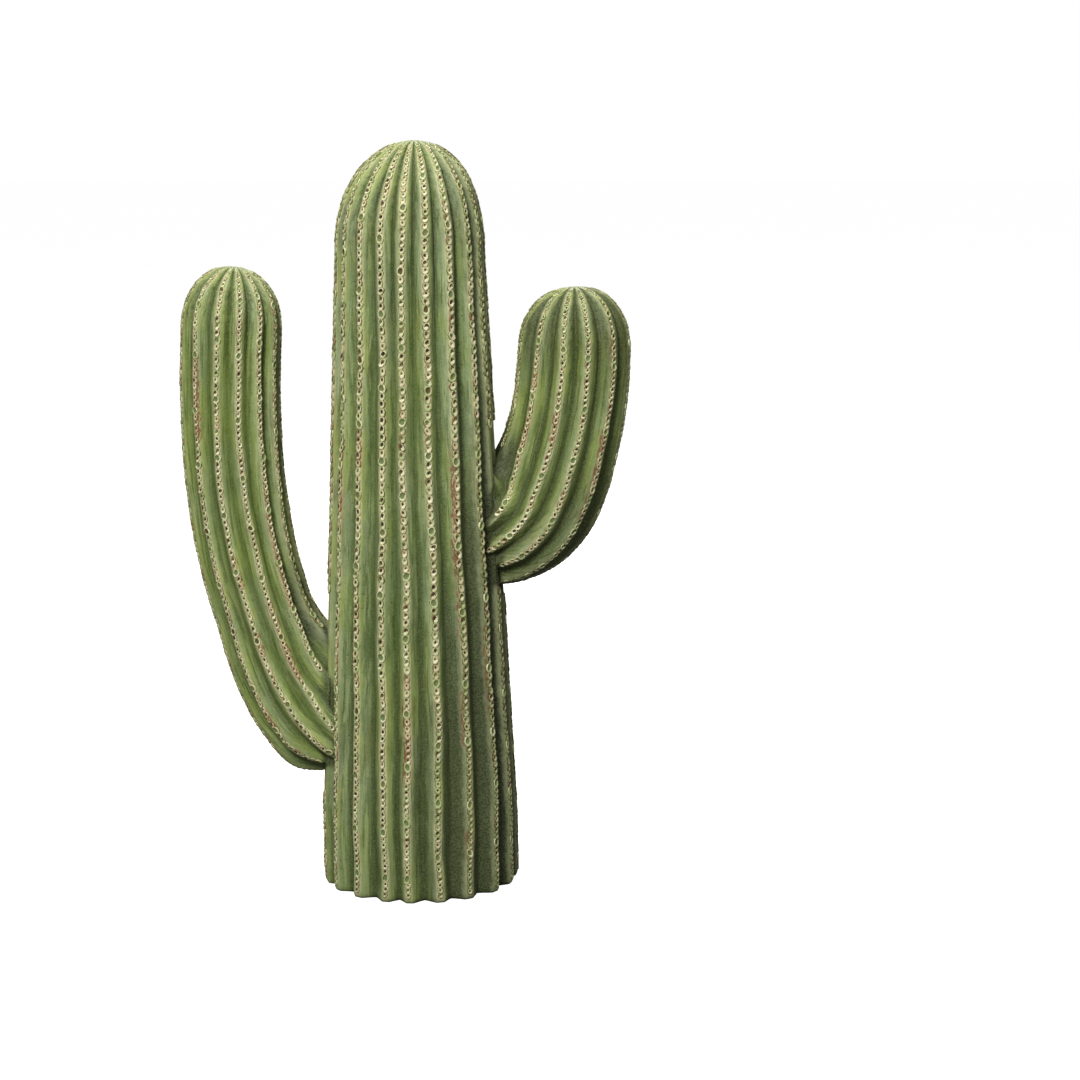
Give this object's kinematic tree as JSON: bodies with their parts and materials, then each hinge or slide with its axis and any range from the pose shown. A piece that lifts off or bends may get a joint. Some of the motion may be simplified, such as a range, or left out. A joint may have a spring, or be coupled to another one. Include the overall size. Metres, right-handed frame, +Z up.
{
  "type": "resin cactus ornament",
  "caption": "Free-standing cast resin saguaro cactus with a ribbed trunk on a flat foot and a ribbed arm bending up on each side.",
  "frame": {"origin": "centre of the trunk's flat underside, on the ground", "axes": "+Z up the trunk, +X towards the short right arm, -Y towards the viewer"},
  "size_m": [0.3341, 0.1476, 0.55],
  "materials": {
    "trunk_paint": "hand-painted satin resin, green with darker grooves and cream crests",
    "left_arm_paint": "hand-painted satin resin, green with darker grooves and rust-tinted cream crests",
    "right_arm_paint": "hand-painted satin resin, green with darker grooves and rust-tinted cream crests"
  },
  "bodies": {
    "root": {"trunk": "trunk_paint", "left_arm_elbow": "left_arm_paint", "left_arm_upright": "left_arm_paint", "right_arm_elbow": "right_arm_paint", "right_arm_upright": "right_arm_paint"}
  },
  "joints": []
}
